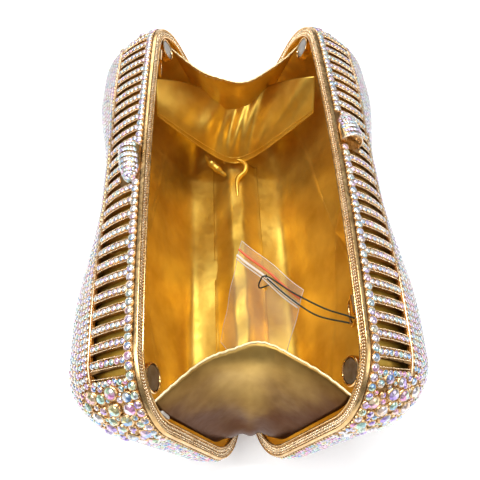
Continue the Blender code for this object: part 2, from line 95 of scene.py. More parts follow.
# Routes in mm and radii in m of the rolled tucks below the far fold
TUCKS = [
    ([(72, 3, 21), (71, -2, 21.5), (67.5, -6, 21), (63, -5.6, 20), (60.5, -2.4, 18.5),
      (57, -0.6, 17), (48, -0.6, 15)], 0.0016),
    ([(75, 18, 22.5), (70.5, 15.5, 21), (66, 10.5, 18.5), (63, 6, 16)], 0.0024),
]
GUSSET_TOP_ANGLE, GUSSET_END_ANGLE = math.radians(30), math.radians(-84)
MAGNET_ANGLE, CUP_R, CUP_WALL = math.radians(57), 0.0056, 0.0008
CUP_FRONT, CUP_FLOOR, CUP_BACK = 0.0009, 0.0033, 0.0040
RING_X = {"front": -0.065, "back": 0.075}
RING_BARREL_R, RING_A, WIRE_R = 0.0016, 0.0022, 0.0006
RING_WIDTH, RING_DROP = 0.010, 0.0105
RING_TOP_BEND, RING_LOW_BEND = 0.0016, 0.0032
POUCH_CORNER = Vector((-0.015, 0.0003, 0.0647))
POUCH_ACROSS = Vector((-0.0315, -0.0247, 0.0100))
POUCH_DOWN = Vector((-0.0300, 0.0118, -0.0490))
POUCH_HOLE_DOWN, POUCH_HOLE_R = 0.2, 0.0022
THREAD_R = 0.00035
THREAD = [
    (-0.0349, -0.0119, 0.0583),
    (-0.0368, -0.0092, 0.0599),
    (-0.0380, -0.0066, 0.0614),
    (-0.0370, -0.0068, 0.0656),
    (-0.0370, -0.0096, 0.0700),
    (-0.0460, -0.0200, 0.0715),
    (-0.0570, -0.0310, 0.0785),
    (-0.0645, -0.0370, 0.0878),
    (-0.0660, -0.0389, 0.0890),
    (-0.0663, -0.0405, 0.0882),
    (-0.0666, -0.0407, 0.0865),
    (-0.0668, -0.0393, 0.0855),
    (-0.0664, -0.0370, 0.0855),
    (-0.0580, -0.0280, 0.0745),
    (-0.0480, -0.0180, 0.0715),
    (-0.0384, -0.0096, 0.0705),
]
KNOT_AT, KNOT_R = THREAD[4], 0.0004

# Stones
RIM_STONE_R, RIM_STONE_PITCH, RIM_STONE_A = 0.00150, 0.0032, 0.0040
BAR_STONE_R, BAR_STONE_PITCH = 0.00112, 0.00225
PAVE_R, PAVE_PITCH = 0.00114, 0.00236
MILGRAIN_R, MILGRAIN_PITCH = 0.00026, 0.00060
BARS_END = 0.0912  # x of the last bar's outer side, where the corner stones begin
CORNER_FROM, CORNER_RUN, CORNER_DEPTH = 0.0922, 0.030, 0.026
CLEAR_OF_RIM, CLEAR_OF_GROUND = 0.0012, 0.0011
# Radius and tries of the corner stones, and of the small stones that fill the gaps between the rows
CORNER_SIZES = ((0.00235, 60), (0.00190, 120), (0.00150, 260), (0.00115, 500), (0.00085, 700))
FILL_SIZES = ((0.00092, 3500), (0.00066, 4500))

# The camera
LENS_MM, SENSOR_MM = 41.6625, 36
CAMERA_AT = Vector((-0.15247, 0.00956, 0.28275))
CAMERA_PITCH, CAMERA_YAW, CAMERA_ROLL = 1.006, 0.0612, 0.0251


# ---------------------------------------------------------------- camera, light and floor

def aim(location, forward, roll):
    """A matrix that looks along forward, rolled about it."""
    right = forward.cross(Vector((0, 0, 1))).normalized()
    up = right.cross(forward)
    across = right * math.cos(roll) + up * math.sin(roll)
    high = up * math.cos(roll) - right * math.sin(roll)
    turn = Matrix((across, high, -forward)).transposed().to_4x4()
    return Matrix.Translation(location) @ turn


def add_camera():
    data = bpy.data.cameras.new("camera")
    data.sensor_width = SENSOR_MM
    data.lens = LENS_MM
    data.clip_start = 0.01
    camera = bpy.data.objects.new("camera", data)
    flat = math.cos(CAMERA_PITCH)
    forward = Vector((math.cos(CAMERA_YAW) * flat, -math.sin(CAMERA_YAW) * flat, -math.sin(CAMERA_PITCH)))
    camera.matrix_world = aim(CAMERA_AT, forward, CAMERA_ROLL)
    bpy.context.scene.collection.objects.link(camera)
    bpy.context.scene.camera = camera


def add_area_light(name, location, target, size, power):
    data = bpy.data.lights.new(name, "AREA")
    data.shape = "RECTANGLE"
    data.size, data.size_y = size
    data.energy = power
    light = bpy.data.objects.new(name, data)
    light.matrix_world = aim(Vector(location), (Vector(target) - Vector(location)).normalized(), 0)
    bpy.context.scene.collection.objects.link(light)


def add_light():
    add_area_light("key", (-0.25, 0.35, 0.80), (0, 0.02, 0.03), (0.50, 0.40), 3.8)
    add_area_light("fill", (-0.35, -0.55, 0.60), (0, 0, 0.05), (0.50, 0.40), 1.4)
    add_area_light("top", (0.10, 0.0, 0.75), (0.0, 0, 0.0), (0.50, 0.08), 2.8)
    add_area_light("back", (0.60, 0.15, 0.40), (0, 0, 0.05), (0.40, 0.30), 1.0)
    world = bpy.data.worlds.new("studio")
    world.use_nodes = True
    nodes, links = world.node_tree.nodes, world.node_tree.links
    background = nodes["Background"]
    coordinates = nodes.new("ShaderNodeTexCoord")
    split = nodes.new("ShaderNodeSeparateXYZ")
    sky = nodes.new("ShaderNodeValToRGB")
    sky.color_ramp.elements[0].position = 0.05
    sky.color_ramp.elements[0].color = (0.34, 0.33, 0.32, 1)
    sky.color_ramp.elements[1].position = 0.9
    sky.color_ramp.elements[1].color = (1.0, 1.0, 1.0, 1)
    links.new(coordinates.outputs["Generated"], split.inputs[0])
    links.new(split.outputs["Z"], sky.inputs[0])
    links.new(sky.outputs[0], background.inputs["Color"])
    background.inputs["Strength"].default_value = 0.40
    bpy.context.scene.world = world
    bpy.context.scene.view_settings.view_transform = "Standard"


# ---------------------------------------------------------------- materials

def new_shader(name):
    made = bpy.data.materials.new(name)
    made.use_nodes = True
    tree = made.node_tree
    return made, tree, tree.nodes["Principled BSDF"]


def noise(tree, scale, detail):
    """Noise in object space, with features about 1/scale metres across."""
    coordinates = tree.nodes.new("ShaderNodeTexCoord")
    node = tree.nodes.new("ShaderNodeTexNoise")
    node.inputs["Scale"].default_value = scale
    node.inputs["Detail"].default_value = detail
    tree.links.new(coordinates.outputs["Object"], node.inputs["Vector"])
    return node.outputs["Fac"]


def calculated(tree, operation, *values):
    """A math node's result.  Each value is a number or another node's output."""
    node = tree.nodes.new("ShaderNodeMath")
    node.operation = operation
    for entry, value in zip(node.inputs, values):
        if isinstance(value, float):
            entry.default_value = value
        else:
            tree.links.new(value, entry)
    return node.outputs[0]


def ramp(tree, source, low, high, start=0.3, end=0.7):
    """Colours or greys between two positions of a source."""
    node = tree.nodes.new("ShaderNodeValToRGB")
    for element, position, value in zip(node.color_ramp.elements, (start, end), (low, high)):
        element.position = position
        element.color = (*value, 1) if hasattr(value, "__len__") else (value, value, value, 1)
    tree.links.new(source, node.inputs["Fac"])
    return node.outputs["Color"]


def bump(tree, shader, source, strength, distance):
    node = tree.nodes.new("ShaderNodeBump")
    node.inputs["Strength"].default_value = strength
    node.inputs["Distance"].default_value = distance
    tree.links.new(source, node.inputs["Height"])
    previous = shader.inputs["Normal"].links
    if previous:
        tree.links.new(previous[0].from_socket, node.inputs["Normal"])
    tree.links.new(node.outputs["Normal"], shader.inputs["Normal"])


def gold(name, dark, light, roughness):
    """Plated metal: slow colour changes, uneven polish and a fine cast grain."""
    made, tree, shader = new_shader(name)
    shader.inputs["Metallic"].default_value = 1.0
    slow = noise(tree, 160, 4)
    tree.links.new(ramp(tree, slow, dark, light), shader.inputs["Base Color"])
    polish = ramp(tree, noise(tree, 500, 5), roughness * 0.6, roughness * 1.5)
    tree.links.new(polish, shader.inputs["Roughness"])
    bump(tree, shader, noise(tree, 900, 4), 0.6, 0.00006)
    return made


def fabric(name, dark, light, roughness, painted_shade=None):
    """Metallic coated cloth: a fine crinkle and slow changes of colour.

    Where a colour for painted shade is given, the cloth takes that colour low down and away from the middle,
    as painted shade for the fold and the pockets beside the rims.
    """
    made, tree, shader = new_shader(name)
    shader.inputs["Metallic"].default_value = 0.95 if painted_shade else 0.85
    color = ramp(tree, noise(tree, 45, 5), dark, light)
    # Painted shade: the shade colour is mixed in low down and towards the sides
    if painted_shade:
        coordinates = tree.nodes.new("ShaderNodeTexCoord")
        split = tree.nodes.new("ShaderNodeSeparateXYZ")
        tree.links.new(coordinates.outputs["Object"], split.inputs[0])
        away = calculated(tree, "ABSOLUTE", split.outputs["Y"])
        below = calculated(tree, "MULTIPLY_ADD", split.outputs["Z"], -SHADE_SLOPE, away)
        wander = calculated(tree, "MULTIPLY_ADD", noise(tree, 70, 3), SHADE_WANDER, below)
        shift = calculated(tree, "ADD", wander, SHADE_SHIFT)
        mix = tree.nodes.new("ShaderNodeMix")
        mix.data_type = "RGBA"
        tree.links.new(ramp(tree, shift, 0.0, 1.0, *SHADE_RANGE), mix.inputs["Factor"])
        tree.links.new(color, mix.inputs[6])
        mix.inputs[7].default_value = (*painted_shade, 1)
        color = mix.outputs[2]
    tree.links.new(color, shader.inputs["Base Color"])
    polish = ramp(tree, noise(tree, 260, 4), roughness * 0.85, roughness * 1.2)
    tree.links.new(polish, shader.inputs["Roughness"])
    bump(tree, shader, noise(tree, 150, 4), 0.35, 0.0005)
    return made


def crystal(name):
    """Foiled stones, with the colour of each facet kept on the mesh."""
    made, tree, shader = new_shader(name)
    facet = tree.nodes.new("ShaderNodeAttribute")
    facet.attribute_name = "facet"
    tree.links.new(facet.outputs["Color"], shader.inputs["Base Color"])
    shader.inputs["Metallic"].default_value = 0.6
    polish = ramp(tree, noise(tree, 700, 2), 0.04, 0.14)
    tree.links.new(polish, shader.inputs["Roughness"])
    shader.inputs["Coat Weight"].default_value = 0.8
    shader.inputs["Coat Roughness"].default_value = 0.03
    return made


def film(name, color, alpha, roughness):
    """Clear plastic with a soft crinkle."""
    made, tree, shader = new_shader(name)
    tint = tuple(c * 0.92 for c in color)
    tree.links.new(ramp(tree, noise(tree, 120, 4), tint, color), shader.inputs["Base Color"])
    shader.inputs["Roughness"].default_value = roughness
    shader.inputs["Alpha"].default_value = alpha
    shader.inputs["Coat Weight"].default_value = 1.0
    bump(tree, shader, noise(tree, 220, 4), 0.5, 0.0002)
    return made


def plain(name, dark, light, roughness, scale=300, metallic=0.0):
    made, tree, shader = new_shader(name)
    tree.links.new(ramp(tree, noise(tree, scale, 4), dark, light), shader.inputs["Base Color"])
    shader.inputs["Metallic"].default_value = metallic
    polish = ramp(tree, noise(tree, scale * 2, 3), roughness * 0.8, roughness * 1.2)
    tree.links.new(polish, shader.inputs["Roughness"])
    bump(tree, shader, noise(tree, scale * 3, 3), 0.4, 0.00005)
    return made


# Where a gusset's painted shade sets in: how fast with height, how far its edge wanders, and the range on a
# ramp
SHADE_SLOPE, SHADE_WANDER, SHADE_SHIFT, SHADE_RANGE = 0.75, 0.016, 0.5, (0.451, 0.482)
GOLD_DARK, GOLD_LIGHT = (0.72, 0.42, 0.14), (0.93, 0.66, 0.34)
# Gold of the case itself, kept darker than the rim's as painted shade for the gaps between the stones, the
# slots and the corners
SHADED_CASE_GOLD = gold("shaded_case_gold", (0.25, 0.12, 0.04), (0.58, 0.33, 0.12), 0.34)
CUP_GOLD = gold("cup_gold", (0.60, 0.36, 0.15), (0.86, 0.60, 0.32), 0.24)
RIM_GOLD = gold("rim_gold", (0.62, 0.38, 0.15), (0.90, 0.62, 0.30), 0.26)
BEAD_GOLD = gold("bead_gold", (0.86, 0.62, 0.36), (1.0, 0.82, 0.58), 0.26)
POLISHED_GOLD = gold("polished_gold", GOLD_DARK, GOLD_LIGHT, 0.16)
LINING = fabric("gold_lining", (0.66, 0.37, 0.04), (0.98, 0.68, 0.13), 0.40)
# The near gusset: a darker copy of the lining cloth, as painted shade where the cloth faces away from the
# light; its last colour is the painted shade low down and at the sides
SHADED_GUSSET_CLOTH = fabric("gold_gusset_painted_shade", (0.40, 0.23, 0.05), (0.70, 0.46, 0.14), 0.38, (0.09, 0.03, 0.006))
HEM = fabric("gold_hem", (0.80, 0.62, 0.30), (1.0, 0.84, 0.52), 0.36)
STONES = crystal("aurora_stones")
MAGNET = plain("magnet_steel", (0.20, 0.17, 0.14), (0.34, 0.32, 0.30), 0.36, metallic=0.9)
BUMPER = film("clear_pad", (0.92, 0.88, 0.80), 0.75, 0.25)
POUCH_FILM = film("pouch_film", (1.0, 0.96, 0.84), 0.10, 0.10)
ZIP_FILM = film("zip_film", (1.0, 0.93, 0.82), 0.80, 0.2)
RED_LINE = film("red_line", (0.90, 0.16, 0.06), 0.92, 0.3)
DARK_THREAD = plain("dark_thread", (0.008, 0.014, 0.008), (0.03, 0.05, 0.03), 0.7, 2500)
FLOOR = plain("pale_floor", (0.93, 0.93, 0.93), (0.95, 0.95, 0.95), 0.9, 3)
FLOOR_GLOW = FLOOR.node_tree.nodes["Principled BSDF"].inputs
FLOOR_GLOW["Emission Color"].default_value = (1, 1, 1, 1)
FLOOR_GLOW["Emission Strength"].default_value = 0.28


# ---------------------------------------------------------------- meshes

def link(name, mesh, material, smooth=True, sharp=None):
    mesh.materials.append(material)
    if smooth:
        mesh.shade_smooth()
    if sharp:
        mesh.set_sharp_from_angle(angle=math.radians(sharp))
    obj = bpy.data.objects.new(name, mesh)
    bpy.context.scene.collection.objects.link(obj)
    return obj


def mesh_object(name, points, faces, material, smooth=True, sharp=None):
    mesh = bpy.data.meshes.new(name)
    mesh.from_pydata(np.asarray(points, float).reshape(-1, 3).tolist(), [], faces)
    mesh.update()
    return link(name, mesh, material, smooth, sharp)


def grid_faces(rows, columns, closed_rows=False, closed_columns=False):
    """Faces of a grid of points, optionally joined round either way."""
    faces = []
    for i in range(rows if closed_rows else rows - 1):
        for j in range(columns if closed_columns else columns - 1):
            k, l = (i + 1) % rows, (j + 1) % columns
            faces.append((i * columns + j, i * columns + l, k * columns + l, k * columns + j))
    return faces


def thicken(obj, offset=0.0):
    """Gives a sheet of cloth its thickness, as part of its mesh."""
    modifier = obj.modifiers.new("thickness", "SOLIDIFY")
    modifier.thickness = CLOTH
    modifier.offset = offset
    graph = bpy.context.evaluated_depsgraph_get()
    made = bpy.data.meshes.new_from_object(obj.evaluated_get(graph))
    flat = obj.data
    obj.modifiers.clear()
    obj.data = made
    bpy.data.meshes.remove(flat)
    obj.data.shade_smooth()


def lengths_along(line):
    """The distance along a line of points at each of them."""
    return np.concatenate([[0], np.cumsum(np.linalg.norm(np.diff(line, axis=0), axis=1))])


def unit(vectors):
    return vectors / np.linalg.norm(vectors, axis=-1, keepdims=True)


def copies(name, template, places, sizes, material, colors=None, smooth=False):
    """One mesh of many small copies.

    places is (points, axes), where axes holds each copy's across, along and out.  colors holds an RGB
    value for each copy and each face of the template.
    """
    shape, faces = template
    points, axes = places
    count, corners = len(points), len(shape)
    local = shape[None] * sizes[:, None, None] if sizes.ndim == 1 else shape[None] * sizes[:, None, :]
    where = points[:, None] + np.einsum("nkj,njc->nkc", local, axes)
    loops = np.concatenate(faces)
    starts = np.cumsum([0] + [len(f) for f in faces])[:-1]
    mesh = bpy.data.meshes.new(name)
    mesh.vertices.add(count * corners)
    mesh.vertices.foreach_set("co", where.astype(np.float32).ravel())
    mesh.loops.add(count * len(loops))
    every = np.arange(count)[:, None]
    mesh.loops.foreach_set("vertex_index", (loops[None] + every * corners).astype(np.int32).ravel())
    mesh.polygons.add(count * len(faces))
    mesh.polygons.foreach_set("loop_start", (starts[None] + every * len(loops)).astype(np.int32).ravel())
    mesh.update(calc_edges=True)
    if colors is not None:
        layer = mesh.attributes.new("facet", "FLOAT_COLOR", "FACE")
        rgba = np.concatenate([colors, np.ones((*colors.shape[:2], 1))], axis=2)
        layer.data.foreach_set("color", rgba.astype(np.float32).ravel())
    return link(name, mesh, material, smooth)


# ---------------------------------------------------------------- the shape of a case

def edge_marks():
    """Distances from mid-top along the rim's outer edge at which its runs end."""
    runs = [LENGTH / 2 - TOP_CORNER, TOP_CORNER * math.pi / 2, RIM_HEIGHT - TOP_CORNER - BOTTOM_CORNER,
            BOTTOM_CORNER * math.pi / 2, LENGTH / 2 - BOTTOM_CORNER]
    return np.cumsum(runs)


MARKS = edge_marks()
HALF_EDGE = MARKS[-1]


def edge(s):
    """The rim's outer edge at s: x, z and the inward normal."""
    s = (np.asarray(s, float) + HALF_EDGE) % (2 * HALF_EDGE) - HALF_EDGE
    side = np.where(s < 0, -1.0, 1.0)
    d = np.abs(s)
    top = np.clip(d, 0, MARKS[0])
    turn1 = np.clip(d - MARKS[0], 0, MARKS[1] - MARKS[0]) / TOP_CORNER
    down = np.clip(d - MARKS[1], 0, MARKS[2] - MARKS[1])
    turn2 = np.clip(d - MARKS[2], 0, MARKS[3] - MARKS[2]) / BOTTOM_CORNER
    back = np.clip(d - MARKS[3], 0, None)
    x = top + TOP_CORNER * np.sin(turn1) - BOTTOM_CORNER * (1 - np.cos(turn2)) - back
    z = RIM_HEIGHT - TOP_CORNER * (1 - np.cos(turn1)) - down - BOTTOM_CORNER * np.sin(turn2)
    turn = turn1 + turn2
    return side * x, z, -side * np.sin(turn), -np.cos(turn)


def lifted(x, z):
    """Height over the hinge line: the top's arch and the rim's height above the hinge added."""
    return z + TOP_ARCH * (1 - (2 * x / LENGTH) ** 2) * z / RIM_HEIGHT + RIM_ABOVE_HINGE


def top_at(x):
    """Height of the rim's outer edge at x, over the hinge line."""
    beyond = max(0.0, abs(x) - (LENGTH / 2 - TOP_CORNER))
    return lifted(x, RIM_HEIGHT - TOP_CORNER + math.sqrt(TOP_CORNER**2 - beyond**2))


def by_side(nz, values):
    """A value for the top, end or bottom, mixed round the corners by the inward normal's z."""
    other = np.where(nz < 0, values["top"], values["bottom"])
    return values["end"] + (other - values["end"]) * nz * nz


def rim_point(s, inset, a):
    x, z, nx, nz = edge(s)
    px = x + nx * inset
    return np.stack([px, a + 0 * px, lifted(px, z + nz * inset)], axis=-1)


MIDDLE = lifted(0, RIM_HEIGHT / 2)


def soft_step(value, low, high):
    share = np.clip((value - low) / (high - low), 0, 1)
    return share * share * (3 - 2 * share)


def depth_beside(x, z):
    """How far the face stands from the meeting plane beside a point of the outline."""
    return CASE_DEPTH + SWELL * soft_step(np.abs(x), *SWELL_X) * soft_step(z, *SWELL_Z)


def shell_point(s, t, skin=0.0, start=CASE_START):
    """A point of the case's surface, or of the one that lies skin inside it.  t goes on to 2 mid-face."""
    x, z, nx, nz = edge(s)
    t = np.asarray(t, float)
    power = 2 / by_side(nz, SQUARENESS)
    angle = math.pi / 2 * np.clip(t, 0, 1)
    rise = 1 - np.abs(np.cos(angle)) ** power
    inset = skin + (by_side(nz, SHOULDER) - skin) * rise
    a = start + (depth_beside(x, z) - skin - start) * np.sin(angle) ** power
    px = x + nx * inset
    h = lifted(px, z + nz * inset)
    share = 1 - np.clip(t - 1, 0, 1)
    face = CASE_DEPTH - skin
    across = np.where(t > 1, face + (a - face) * share + CROWN * (1 - share**2), a)
    return np.stack([px * share, across, MIDDLE + (h - MIDDLE) * share], axis=-1)


def t_at(s, a):
    """The t at which the case's surface is a away from the meeting plane."""
    x, z, _, nz = edge(s)
    power = 2 / by_side(nz, SQUARENESS)
    share = np.clip((a - CASE_START) / (depth_beside(x, z) - CASE_START), 0, 1)
    return np.arcsin(share ** (1 / power)) * 2 / math.pi


def frames_on(s, t):
    """Points and axes (across, along, out) where across follows s and out points away from the case."""
    step = 1e-4
    s, t = np.broadcast_arrays(np.asarray(s, float), np.asarray(t, float))
    point = shell_point(s, t)
    across = unit(shell_point(s + step, t) - shell_point(s - step, t))
    down = shell_point(s, t + step) - shell_point(s, np.maximum(t - step, 0))
    out = unit(np.cross(across, down))
    along = np.cross(out, across)
    return point, np.stack([across, along, out], axis=1)


def case_matrix(side):
    turn = Matrix.Rotation(0 if side == "back" else math.pi, 4, "Z")
    return Matrix.Translation((0, 0, HINGE_Z)) @ turn @ Matrix.Rotation(-OPEN_ANGLE, 4, "X")


SIDES = ("back", "front")


def settle(obj, side, *nodes, slot):
    """Puts a piece drawn in a case's frame on that case, in place of the CAD nodes named."""
    obj.data.transform(case_matrix(side))
    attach(obj, f"{side}_half")
    if nodes:
        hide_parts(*nodes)


def own_x(side, x):
    return x if side == "back" else -x


# ---------------------------------------------------------------- stones

def circle(sides):
    turn = np.arange(sides) * 2 * math.pi / sides
    return np.stack([np.cos(turn), np.sin(turn)], axis=1)


def stacked(rings, sides):
    """The points and faces of rings, (radius, height), joined one above the other."""
    points = np.concatenate([np.c_[circle(sides) * r, np.full(sides, z)] for r, z in rings])
    return points, grid_faces(len(rings), sides, closed_columns=True)


def gem(sides):
    """A cut stone of radius 1 standing on z=0: a low cone of table wedges inside a ring of crown facets."""
    turn = np.arange(sides) * 2 * math.pi / sides
    girdle = np.stack([np.cos(turn), np.sin(turn), np.full(sides, 0.18)], axis=1)
    half = turn + math.pi / sides
    table = np.stack([0.6 * np.cos(half), 0.6 * np.sin(half), np.full(sides, 0.60)], axis=1)
    points = np.concatenate([girdle, table, [[0, 0, 0.50]]])
    faces = []
    for i in range(sides):
        j = (i + 1) % sides
        faces.append((sides + i, sides + j, 2 * sides))
        faces.append((i, j, sides + i))
        faces.append((j, sides + j, sides + i))
    return points, faces


def cup(sides, wide):
    """A setting of inner radius 1: an outer wall and a lip that leans in over the stone."""
    return stacked([(wide + 0.04, -0.30), (wide, 0.24), (0.98, 0.34), (0.94, 0.16)], sides)


def bead(sides=6):
    """A small round grain, half sunk."""
    rings = [(1.0, 0.0), (0.86, 0.5), (0.5, 0.86)]
    points, faces = stacked(rings, sides)
    last = (len(rings) - 1) * sides
    tip = last + sides
    faces += [(last + i, last + (i + 1) % sides, tip) for i in range(sides)]
    return np.concatenate([points, [[0, 0, 1.0]]]), faces


GEM, CUP, FINE_CUP, BEAD = gem(8), cup(6, 1.13), cup(10, 1.2), bead()

# What an aurora coating shows: one side of a stone takes a warm tone and the other a cool one
WARM = np.array([(0.99, 0.93, 0.60), (0.80, 0.97, 0.78), (1.0, 0.80, 0.66),
                 (0.99, 0.97, 0.94), (1.0, 0.78, 0.88)])
COOL = np.array([(0.66, 0.50, 0.98), (0.42, 0.66, 0.99), (0.98, 0.54, 0.84),
                 (0.94, 0.92, 1.0), (0.60, 0.88, 0.93)])


def facet_colors(count, depth, faces):
    """Colours of each stone's facets.  depth, 0 to 1, is how strong and dark the tones are."""
    sides = faces // 3
    warm, cool = WARM[rng.integers(0, 5, count)], COOL[rng.integers(0, 5, count)]
    phase = rng.uniform(0, 2 * math.pi, count)
    turn = (np.repeat(np.arange(sides), 3) + 0.5) * 2 * math.pi / sides
    share = 0.5 + 0.5 * np.cos(turn[None] - phase[:, None])
    share = np.clip(share + rng.uniform(-0.3, 0.3, (count, faces)), 0, 1)[..., None]
    tone = warm[:, None] * share + cool[:, None] * (1 - share)
    depth = np.asarray(depth).reshape(-1, 1, 1)
    pale = tone + (1 - tone) * (0.48 - 0.45 * depth)
    strong = np.clip(pale, 0, 1) ** (1 + 1.2 * depth)
    shade = rng.choice([1.0, 0.82, 0.50, 0.22], (count, faces), p=[0.38, 0.27, 0.21, 0.14])[..., None]
    shade = 1 - (1 - shade) * (0.55 + 0.45 * depth)
    return strong * shade


def spin(axes):
    """The same frames, each turned by a random amount about its own out axis."""
    turn = rng.uniform(0, 2 * math.pi, len(axes))
    cos, sin = np.cos(turn)[:, None], np.sin(turn)[:, None]
    across, along, out = axes[:, 0], axes[:, 1], axes[:, 2]
    return np.stack([across * cos + along * sin, along * cos - across * sin, out], axis=1)


class Setting:
    """Stones placed on one case.  A place nearer to an earlier stone than its gap allows is left out."""

    def __init__(self):
        self.cells = {}
        self.points, self.axes, self.sizes, self.depths = [], [], [], []

    def free(self, point, radius, gap):
        key = tuple(int(c // 0.006) for c in point)
        for dx in (-1, 0, 1):
            for dy in (-1, 0, 1):
                for dz in (-1, 0, 1):
                    for other, size in self.cells.get((key[0] + dx, key[1] + dy, key[2] + dz), ()):
                        reach = (radius + size) * gap
                        if sum((p - q) ** 2 for p, q in zip(point, other)) < reach * reach:
                            return False
        self.cells.setdefault(key, []).append((point, radius))
        return True

    def add(self, points, axes, radius, depth, gap):
        radii = np.broadcast_to(radius, len(points))
        depths = np.broadcast_to(depth, len(points))
        for point, axis, size, tone in zip(points, axes, radii, depths):
            if self.free(tuple(point), size, gap):
                self.points.append(point)
                self.axes.append(axis)
                self.sizes.append(size)
                self.depths.append(tone)

    def make(self, side, name, cup_shape):
        """The stones and their cups as two pieces."""
        points, axes = np.array(self.points), np.array(self.axes)
        sizes = np.array(self.sizes)
        colors = facet_colors(len(points), np.array(self.depths), len(GEM[1]))
        lift = points + axes[:, 2] * sizes[:, None] * 0.10
        gems = copies(f"{side}_{name}_stones", GEM, (lift, spin(axes)), sizes, STONES, colors)
        cups = copies(f"{side}_{name}_cups", cup_shape, (points, axes), sizes, CUP_GOLD)
        settle(gems, side, slot="crystal")
        settle(cups, side, slot="case_metal")


def depth_at(points):
    """Stones show stronger tones low down and towards the ends."""
    low = np.clip((0.085 - points[:, 2]) / 0.06, 0, 1)
    ends = np.clip((np.abs(points[:, 0]) - 0.072) / 0.02, 0, 1)
    return np.clip(0.25 + 0.45 * ends + 0.35 * low, 0, 1)


def knob_end(side):
    """Where the flat end of a knob is, in the frame of its own case."""
    return own_x(side, KNOB_MEETING) - KNOB_END_GAP


def beside_knob(side, x):
    behind_end = knob_end(side) - x
    return (behind_end > -0.0012) & (behind_end < KNOB_LENGTH + 0.0010)


def bar_places(side):
    """Middle lines of the bars between the slots, as (x, first a)."""
    for number in range(SLOT_COUNT + 1):
        x = (number - SLOT_COUNT / 2) * SLOT_PITCH
        yield x, (SLOT_FROM_BY_KNOB + 0.0012 if beside_knob(side, x) else SLOT_FROM + 0.0006)


def s_of_x(x):
    """Distance along the top edge for an x on the top run or its corner."""
    beyond = np.clip(np.abs(x) - MARKS[0], 0, TOP_CORNER * 0.999)
    return np.sign(x) * (np.minimum(np.abs(x), MARKS[0]) + TOP_CORNER * np.arcsin(beyond / TOP_CORNER))


def roof_stones(side):
    """The line of round stones beside the rim, and a row of small ones along each bar."""
    line = Setting()
    count = int(2 * MARKS[1] / RIM_STONE_PITCH)
    s = np.linspace(-MARKS[1], MARKS[1], count)
    s = s[~beside_knob(side, s)]
    points, axes = frames_on(s, t_at(s, RIM_STONE_A))
    line.add(points, axes, RIM_STONE_R, depth_at(points), 1.02)
    line.make(side, "rim_line", FINE_CUP)
    bars = Setting()
    for x, first in bar_places(side):
        a = np.arange(first, SLOT_TO, BAR_STONE_PITCH)
        s = np.full(len(a), s_of_x(x))
        points, axes = frames_on(s, t_at(s, a))
        bars.add(points, axes, BAR_STONE_R, depth_at(points), 0.98)
    bars.make(side, "bar", CUP)


def roof_beads(side):
    """Milgrain down both edges of each bar."""
    beside_slot = (SLOT_PITCH - SLOT_WIDTH) / 2 - MILGRAIN_R
    points, axes = [], []
    for x, first in bar_places(side):
        a = np.arange(first - 0.0006, SLOT_TO + 0.0002, MILGRAIN_PITCH)
        for edge_of_bar in (-1, 1):
            s = np.full(len(a), s_of_x(x + edge_of_bar * beside_slot))
            p, f = frames_on(s, t_at(s, a))
            points.append(p)
            axes.append(f)
    points, axes = np.concatenate(points), np.concatenate(axes)
    sizes = np.full(len(points), MILGRAIN_R)
    obj = copies(f"{side}_bar_beads", BEAD, (points, axes), sizes, BEAD_GOLD, smooth=True)
    settle(obj, side, slot="case_metal")


def corner_stones(setting, end):
    """Stones of many sizes over one top corner, past the last slot, the largest set first."""
    for radius, tries in CORNER_SIZES:
        s = s_of_x(CORNER_FROM) + rng.uniform(0, CORNER_RUN, tries)
        a = rng.uniform(RIM_STONE_A + 0.0022, CORNER_DEPTH, tries)
        points, axes = frames_on(s * end, t_at(s, a))
        setting.add(points, axes, radius, 0.55 + 0.3 * rng.random(tries), 1.06)


def pave_rows():
    """Rows of places evenly apart, each row one distance over the surface from the rim."""
    around = np.linspace(-HALF_EDGE, HALF_EDGE, 481)
    inwards = np.linspace(0, 1.98, 160)
    grid_s, grid_t = np.meshgrid(around, inwards, indexing="ij")
    grid = shell_point(grid_s.ravel(), grid_t.ravel()).reshape(*grid_s.shape, 3)
    steps = np.linalg.norm(np.diff(grid, axis=1), axis=2)
    reach = np.concatenate([np.zeros((len(around), 1)), np.cumsum(steps, axis=1)], axis=1)
    for row, distance in enumerate(np.arange(PAVE_PITCH * 0.6, reach.max(), PAVE_PITCH * 0.98)):
        t = np.array([np.interp(distance, line, inwards) for line in reach])
        line = shell_point(around, t)
        lengths = lengths_along(line)
        count = int(lengths[-1] / PAVE_PITCH)
        if count < 4:
            return
        s = np.interp((np.arange(count) + row % 2 / 2) * lengths[-1] / count, lengths, around)
        yield s, np.minimum(np.interp(s, around, t), 1.97)


def add_paving(setting, s, t, radius, gap, bars_end, past_bars, past_line):
    """Stones at those places that are clear of the ground, the bars and the line beside the rim."""
    points, axes = frames_on(s, t)
    roof = (np.abs(s) < s_of_x(bars_end)) & (points[:, 1] < SLOT_TO + past_bars) & (t < 1)
    by_rim = (np.abs(s) < MARKS[1]) & (points[:, 1] < RIM_STONE_A + past_line)
    keep = (points[:, 1] > CASE_START + CLEAR_OF_RIM) & above_ground(points) & ~roof & ~by_rim
    setting.add(points[keep], axes[keep], radius, depth_at(points[keep]), gap)


